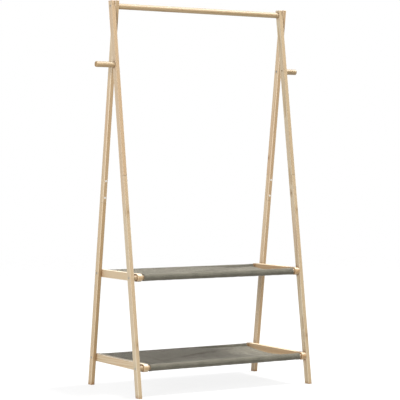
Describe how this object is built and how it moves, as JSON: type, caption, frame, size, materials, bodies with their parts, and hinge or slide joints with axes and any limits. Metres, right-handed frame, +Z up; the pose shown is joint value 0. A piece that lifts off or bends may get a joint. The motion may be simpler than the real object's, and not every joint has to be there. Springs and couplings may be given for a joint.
{
  "type": "clothes rack",
  "caption": "Free-standing wooden A-frame clothes rack with a round hanging rail, a coat peg on each outer side and cloth shelves slung between dowels.",
  "frame": {"origin": "on the floor under the middle of the rack, at the bottom centre of its box", "axes": "+X along the hanging rail to the right, +Y to the back, +Z up"},
  "size_m": [0.959, 0.4502, 1.5],
  "materials": {
    "leg_wood": "satin clear lacquer on pale softwood",
    "bearer_wood": "satin clear lacquer on pale softwood",
    "dowel_wood": "satin clear lacquer on pale turned wood",
    "grey_cloth": "plain woven grey canvas",
    "screw_steel": "zinc plated"
  },
  "bodies": {
    "root": {"left_outer_leg_lower": "leg_wood", "left_outer_leg_upper": "leg_wood", "left_inner_leg_lower": "leg_wood", "left_inner_leg_upper": "leg_wood", "right_outer_leg_lower": "leg_wood", "right_outer_leg_upper": "leg_wood", "right_inner_leg_lower": "leg_wood", "right_inner_leg_upper": "leg_wood", "top_rail": "dowel_wood", "left_peg": "dowel_wood", "right_peg": "dowel_wood", "upper_front_dowel": "dowel_wood", "upper_back_dowel": "dowel_wood", "upper_left_bearer": "bearer_wood", "upper_right_bearer": "bearer_wood", "upper_fabric_shelf": "grey_cloth", "upper_dowel_screws": "screw_steel", "upper_bearer_lock_screws": "screw_steel", "lower_front_dowel": "dowel_wood", "lower_back_dowel": "dowel_wood", "lower_left_bearer": "bearer_wood", "lower_right_bearer": "bearer_wood", "lower_fabric_shelf": "grey_cloth", "lower_dowel_screws": "screw_steel", "lower_bearer_lock_screws": "screw_steel", "leg_joint_screws": "screw_steel", "peg_screws": "screw_steel", "rail_screws": "screw_steel"}
  },
  "joints": []
}
